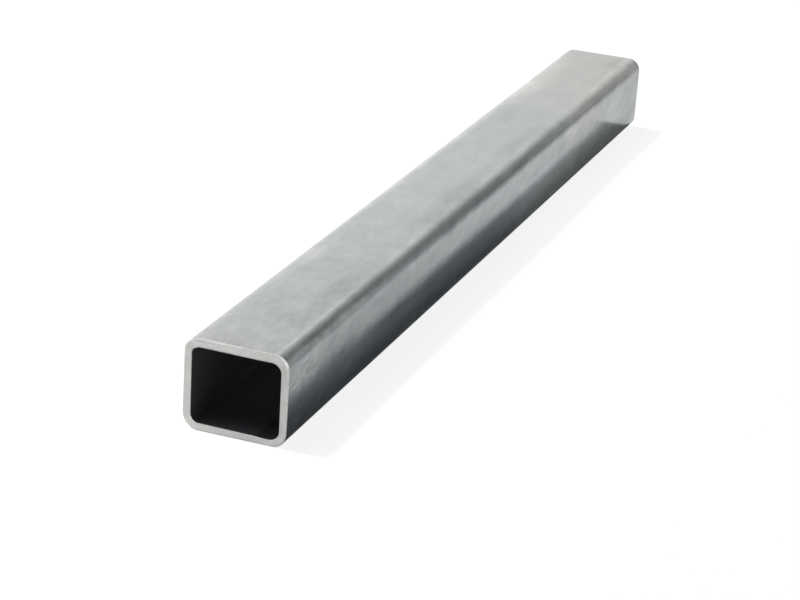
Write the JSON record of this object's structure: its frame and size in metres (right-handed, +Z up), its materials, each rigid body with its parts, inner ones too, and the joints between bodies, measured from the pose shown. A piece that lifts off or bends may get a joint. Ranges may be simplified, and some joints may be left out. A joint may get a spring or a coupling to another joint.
{
  "type": "cold drawn rectangular steel tube",
  "caption": "Short straight length of cold drawn steel tube with a rounded rectangular section, an open bore and square sawn ends.",
  "frame": {"origin": "on the surface that the tube lies on, under the middle of its length and width", "axes": "+Y along the tube, +X across its width, +Z up through its top face"},
  "size_m": [0.04, 0.45, 0.035],
  "materials": {
    "cold_drawn_steel": "bright cold drawn surface, faintly clouded, with fine lines along the length and plain sawn ends"
  },
  "bodies": {
    "root": {"tube": "cold_drawn_steel"}
  },
  "joints": []
}
